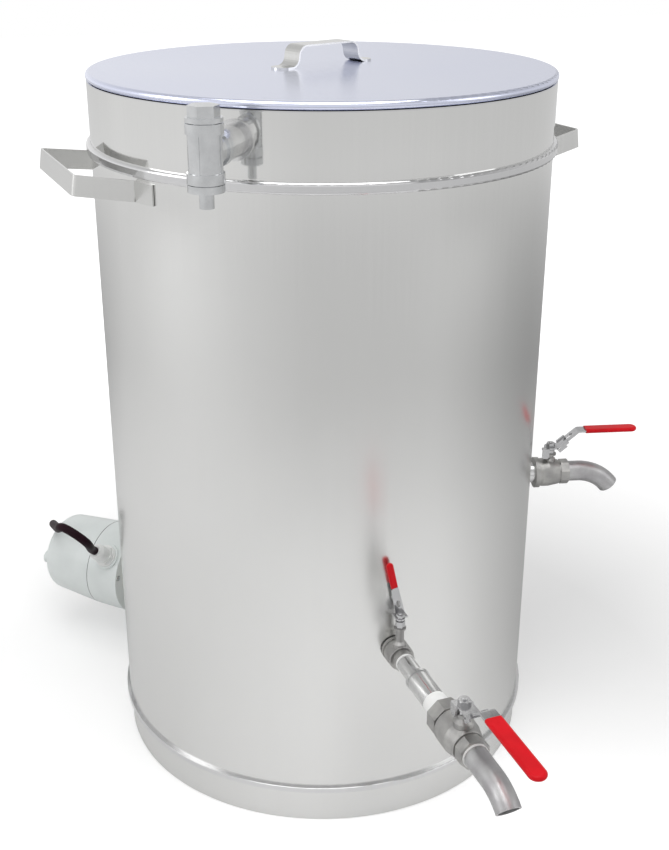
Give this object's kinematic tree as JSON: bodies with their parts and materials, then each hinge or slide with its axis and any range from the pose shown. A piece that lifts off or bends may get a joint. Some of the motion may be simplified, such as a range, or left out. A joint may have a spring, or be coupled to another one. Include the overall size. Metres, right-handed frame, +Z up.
{
  "type": "wax clarifying tank",
  "caption": "Round steel wax melting vessel in a heated water jacket, with ball-valve outlets, screw-in immersion heater, overflow tee, carry handles and a lift-off lid.",
  "frame": {"origin": "on the tank's axis at the level of the floor it stands on", "axes": "+Z up, -Y along the lower outlet, +X towards the side outlet"},
  "size_m": [0.7422, 1.0442, 0.89],
  "materials": {
    "polished_steel": "polished",
    "satin_steel": "satin",
    "cast_steel": "cast, matte",
    "red_sleeve": "glossy",
    "white_ptfe": "matte",
    "grey_housing": "satin",
    "brass": "turned",
    "black_rubber": "matte"
  },
  "bodies": {
    "tank": {"base_skirt": "polished_steel", "jacket_floor": "polished_steel", "outer_jacket": "polished_steel", "jacket_bead": "polished_steel", "inner_vessel": "polished_steel", "top_flange": "polished_steel", "carry_handle_left": "polished_steel", "carry_handle_right": "polished_steel", "lower_outlet_pipe": "satin_steel", "valve_a_body": "cast_steel", "valve_a_end": "cast_steel", "half_inch_nipple": "satin_steel", "reducing_nipple": "satin_steel", "valve_b_body": "cast_steel", "valve_b_end": "cast_steel", "lower_spout": "satin_steel", "side_outlet_pipe": "satin_steel", "valve_c_body": "cast_steel", "valve_c_end": "cast_steel", "side_spout": "satin_steel", "valve_seats": "white_ptfe", "valve_gland_nuts": "satin_steel", "thread_tape": "white_ptfe", "overflow_socket": "satin_steel", "tee_fitting": "cast_steel", "tee_plug": "cast_steel", "tee_stub": "cast_steel", "heater_boss": "satin_steel", "heater_head": "brass", "heating_elements": "satin_steel", "housing_base": "grey_housing", "housing_cap": "grey_housing", "thermostat_body": "white_ptfe", "housing_screws": "satin_steel", "cable_gland": "white_ptfe", "mains_cable": "black_rubber", "cable_coil": "black_rubber", "coil_tie": "black_rubber", "plug": "black_rubber"},
    "lid": {"lid_plate": "polished_steel", "lid_collar": "polished_steel", "lid_handle": "polished_steel"},
    "valve_a_handle": {"valve_a_ball": "satin_steel", "valve_a_stem": "satin_steel", "valve_a_nut": "satin_steel", "valve_a_lever": "satin_steel", "valve_a_sleeve": "red_sleeve"},
    "valve_b_handle": {"valve_b_ball": "satin_steel", "valve_b_stem": "satin_steel", "valve_b_nut": "satin_steel", "valve_b_lever": "satin_steel", "valve_b_sleeve": "red_sleeve"},
    "valve_c_handle": {"valve_c_ball": "satin_steel", "valve_c_stem": "satin_steel", "valve_c_nut": "satin_steel", "valve_c_lever": "satin_steel", "valve_c_sleeve": "red_sleeve"},
    "valve_b_lock_plate": {"valve_b_lock": "satin_steel"},
    "valve_c_lock_plate": {"valve_c_lock": "satin_steel"},
    "thermostat_dial": {"thermostat_knob": "grey_housing"}
  },
  "joints": [
    {"name": "lid_lift", "type": "slide", "parent": "tank", "child": "lid", "axis": [0, 0, 1], "range_m": [0, 0.12]},
    {"name": "valve_a_turn", "type": "hinge", "parent": "tank", "child": "valve_a_handle", "pos_m": [-0.012, -0.28703, 0.242], "axis": [0, 0, 1], "range_deg": [0, 90]},
    {"name": "valve_b_turn", "type": "hinge", "parent": "tank", "child": "valve_b_handle", "pos_m": [-0.012, -0.45203, 0.242], "axis": [0, 0, -1], "range_deg": [0, 90]},
    {"name": "valve_c_turn", "type": "hinge", "parent": "tank", "child": "valve_c_handle", "pos_m": [0.29461, -0.07894, 0.333], "axis": [0, 0, -1], "range_deg": [0, 90]},
    {"name": "valve_b_lock_slide", "type": "slide", "parent": "valve_b_handle", "child": "valve_b_lock_plate", "axis": [0, -0.7546, 0.6562], "range_m": [0, 0.005]},
    {"name": "valve_c_lock_slide", "type": "slide", "parent": "valve_c_handle", "child": "valve_c_lock_plate", "axis": [0.7289, -0.1953, 0.6562], "range_m": [0, 0.005]},
    {"name": "thermostat_turn", "type": "hinge", "parent": "tank", "child": "thermostat_dial", "pos_m": [-0.31463, 0.31955, 0.1085], "axis": [-0.6691, 0.7431, 0], "range_deg": [0, 270]}
  ]
}
